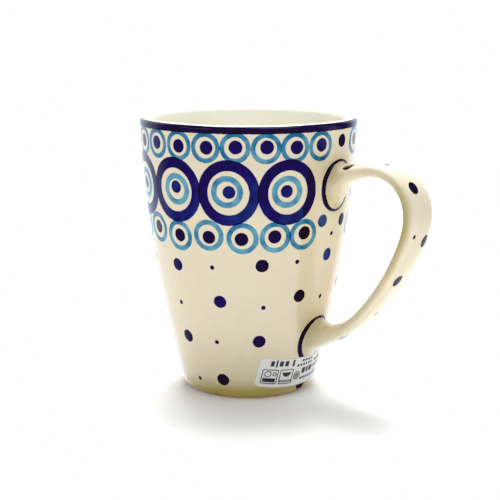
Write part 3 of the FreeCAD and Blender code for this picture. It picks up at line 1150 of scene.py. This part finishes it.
def strap_glaze(material):
    """The glaze round the handle: an outer skin, and an inner one against the clay."""
    outer = handle_rings(GLAZE)
    rings = outer + handle_rings(0.0)[::-1]
    piece = make_piece("strap_glaze", np.concatenate(rings), skin_rings(rings, True), material)
    # The painted shade goes on the outer skin only, as a share at each point
    shares = np.zeros((len(rings), ROUND_THE_STRAP), np.float32)
    shares[: len(outer)] = shade_shares()
    piece.data.attributes.new("painted_shade", "FLOAT", "POINT").data.foreach_set("value", shares.ravel())
    return piece


def slip_joint(name, root, upright, material):
    """The layer of slip between a root and the wall."""
    rings = [footprint(root, -SLIP, upright, sink) for sink in (0.0, SLIP)]
    return make_piece(name, np.concatenate(rings), skin_rings(rings, False), material)


def surface_tree(piece):
    points = [v.co for v in piece.data.vertices]
    return BVHTree.FromPolygons(points, [tuple(p.vertices) for p in piece.data.polygons])


def build_mug():
    clay = clay_material()
    slip = slip_material()
    stand_for(stoneware_body(clay), "stoneware", "mug_body")
    cup = stand_for(cup_glaze(cup_glaze_material()), "body_glaze", "body_glaze")
    stand_for(handle_strap(clay), "handle_clay", "handle")
    strap = stand_for(strap_glaze(strap_glaze_material()), "handle_glaze", "handle_glaze")
    stand_for(slip_joint("upper_slip", UPPER_ROOT, 1, slip), "slip", "upper_slip_joint")
    stand_for(slip_joint("lower_slip", LOWER_ROOT, -1, slip), "slip", "lower_slip_joint")
    label = label_piece([surface_tree(cup), surface_tree(strap)])
    stand_for(label, "paper", "care_label")


# ---- studio

# The camera: degrees round the mug, metres from its axis and above the floor, degrees downward,
# and its lens
CAMERA_AZIMUTH = 35.7
CAMERA_REACH = 0.5
CAMERA_HEIGHT = 0.1605
CAMERA_PITCH = 11.63
CAMERA_LENS = 86.04
CAMERA_SHIFT = 0.003

# The floor, in metres
FLOOR_SIZE = 1.6
FLOOR_GREY = (0.82, 0.81, 0.78, 1)
FLOOR_PALE = (0.86, 0.85, 0.82, 1)
# Light the floor gives of itself, which thins the shadow on it
FLOOR_GLOW = 0.12


def floor_material():
    material, graph = new_material("studio_floor")
    point = graph.node("ShaderNodeTexCoord").outputs["Object"]
    grain = graph.noise(point, 40.0, 2.0)
    colour = graph.blend(FLOOR_GREY, FLOOR_PALE, grain + 0.5)
    shader = finish_material(graph, colour, graph.bump(grain, 0.02), 0.9)
    shader.inputs["Emission Color"].default_value = FLOOR_PALE
    shader.inputs["Emission Strength"].default_value = FLOOR_GLOW
    return material


def build_floor():
    half = FLOOR_SIZE / 2
    mesh = bpy.data.meshes.new("floor")
    corners = [(-half, -half, 0), (half, -half, 0), (half, half, 0), (-half, half, 0)]
    mesh.from_pydata(corners, [], [(0, 1, 2, 3)])
    mesh.materials.append(floor_material())
    floor = bpy.data.objects.new("floor", mesh)
    bpy.context.scene.collection.objects.link(floor)
    floor.visible_glossy = False


def build_camera():
    data = bpy.data.cameras.new("camera")
    data.lens = CAMERA_LENS
    data.shift_x = CAMERA_SHIFT
    camera = bpy.data.objects.new("camera", data)
    angle = math.radians(CAMERA_AZIMUTH)
    camera.location = (CAMERA_REACH * math.sin(angle), -CAMERA_REACH * math.cos(angle), CAMERA_HEIGHT)
    camera.rotation_euler = (math.radians(90 - CAMERA_PITCH), 0, angle)
    bpy.context.scene.collection.objects.link(camera)
    bpy.context.scene.camera = camera


# The studio's walls: degrees to the right of the camera as seen from the mug, how strongly each
# lights the mug, and how bright it looks in the glaze
STUDIO_WALLS = (
    (-180, 1.0, 1.4),
    (-136, 0.95, 1.4),
    (-100, 0.15, 1.4),
    (-70, 0.15, 1.5),
    (-50, 0.50, 1.8),
    (97, 0.50, 1.8),
    (104, 0.52, 1.5),
    (116, 0.7, 0.9),
    (130, 1.1, 0.8),
    (142, 2.0, 1.3),
    (180, 2.1, 1.4),
)
# The tint of the walls' light, and how bright the walls look past the mug
DAYLIGHT = (0.94, 1.0, 1.08)
BACKDROP = 1.2

# The softboxes: degrees to the right of the camera, degrees up, distance, size and power
SOFTBOXES = {
    "over_back": (180, 70, 0.9, 0.55, 12.2),
    "left": (-60, 30, 0.9, 0.55, 0.6),
    "right": (40, 60, 0.9, 0.55, 0.8),
}

# The haze that is taken off the darks, and the dark that is left in red, green and blue
HAZE = 0.11
DEEPEST = (0.0116, 0.0056, 0.010)


def wall_ramp(graph, turn, column):
    """One column of the studio's walls as light round the mug."""
    levels = [wall[column] for wall in STUDIO_WALLS]
    brightest = max(levels)
    ramp = graph.node("ShaderNodeValToRGB", turn)
    elements = ramp.color_ramp.elements
    while len(elements) < len(levels):
        elements.new(0.5)
    for element, wall in zip(elements, STUDIO_WALLS):
        element.position = wall[0] / 360 + 0.5
    for element, level in zip(elements, levels):
        element.color = tuple(level / brightest * tint for tint in DAYLIGHT) + (1,)
    return graph.node("ShaderNodeBackground", ramp.outputs[0], brightest).outputs[0]


def build_world():
    """Pale studio walls that wrap round the mug, brightest behind it."""
    world = bpy.data.worlds.new("studio")
    bpy.context.scene.world = world
    world.use_nodes = True
    graph = Graph(world.node_tree)
    x, y, _ = graph.parts(graph.node("ShaderNodeTexCoord").outputs["Generated"])
    straight = math.radians(CAMERA_AZIMUTH - 90)
    around = graph.math("ARCTAN2", y, x) - straight
    turn = graph.math("FRACT", around / (2 * math.pi) + 1.5)
    seen = graph.node("ShaderNodeBackground", (1, 1, 1, 1), BACKDROP).outputs[0]
    rays = graph.node("ShaderNodeLightPath").outputs
    light, mirrored = wall_ramp(graph, turn, 1), wall_ramp(graph, turn, 2)
    lit = graph.node("ShaderNodeMixShader", rays["Is Glossy Ray"], light, mirrored).outputs[0]
    both = graph.node("ShaderNodeMixShader", rays["Is Camera Ray"], lit, seen)
    graph.node("ShaderNodeOutputWorld", both.outputs[0])


def build_softbox(name, aside, rise, distance, size, power):
    """A square softbox that looks at the middle of the mug."""
    data = bpy.data.lights.new(name, "AREA")
    data.size = size
    data.energy = power
    lamp = bpy.data.objects.new(name, data)
    around = math.radians(CAMERA_AZIMUTH - 90 + aside)
    up = math.radians(rise)
    towards = Vector((math.cos(around) * math.cos(up), math.sin(around) * math.cos(up), math.sin(up)))
    lamp.location = towards * distance + Vector((0, 0, RIM_HEIGHT * MM / 2))
    lamp.rotation_euler = towards.to_track_quat("Z", "Y").to_euler()
    bpy.context.scene.collection.objects.link(lamp)


def set_tone():
    """Plain display colours, with the haze of the bright studio taken off the darks."""
    view = bpy.context.scene.view_settings
    view.view_transform = "Standard"
    view.use_curve_mapping = True
    view.curve_mapping.extend = "HORIZONTAL"
    view.curve_mapping.black_level = (HAZE,) * 3
    for curve, deepest in zip(view.curve_mapping.curves, DEEPEST):
        curve.points[0].location = (0.0, deepest)
    view.curve_mapping.update()


build_mug()
build_floor()
build_camera()
build_world()
for name, place in SOFTBOXES.items():
    build_softbox(name, *place)
set_tone()
